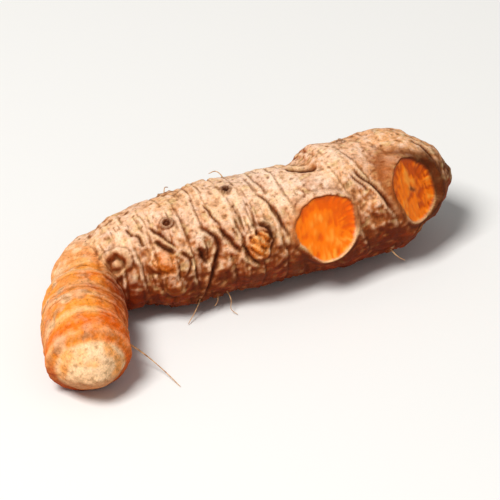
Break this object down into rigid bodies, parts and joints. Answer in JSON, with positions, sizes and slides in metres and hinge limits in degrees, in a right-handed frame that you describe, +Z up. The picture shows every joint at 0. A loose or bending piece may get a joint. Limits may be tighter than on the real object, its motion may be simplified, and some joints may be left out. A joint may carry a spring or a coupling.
{
  "type": "turmeric root",
  "caption": "Fresh turmeric rhizome with a thick ringed body, round orange break scars, dormant buds and a side finger that curves away from one end.",
  "frame": {"origin": "on the surface that the root lies on, under the middle of its bounding box", "axes": "+X along the main body towards its blunt end, +Z up, the side finger curves from the -X end towards -Y"},
  "size_m": [0.0914, 0.0428, 0.0239],
  "materials": {
    "skin": "matt corky skin with orange flesh at the break scars"
  },
  "bodies": {
    "root": {"rhizome": "skin"}
  },
  "joints": []
}
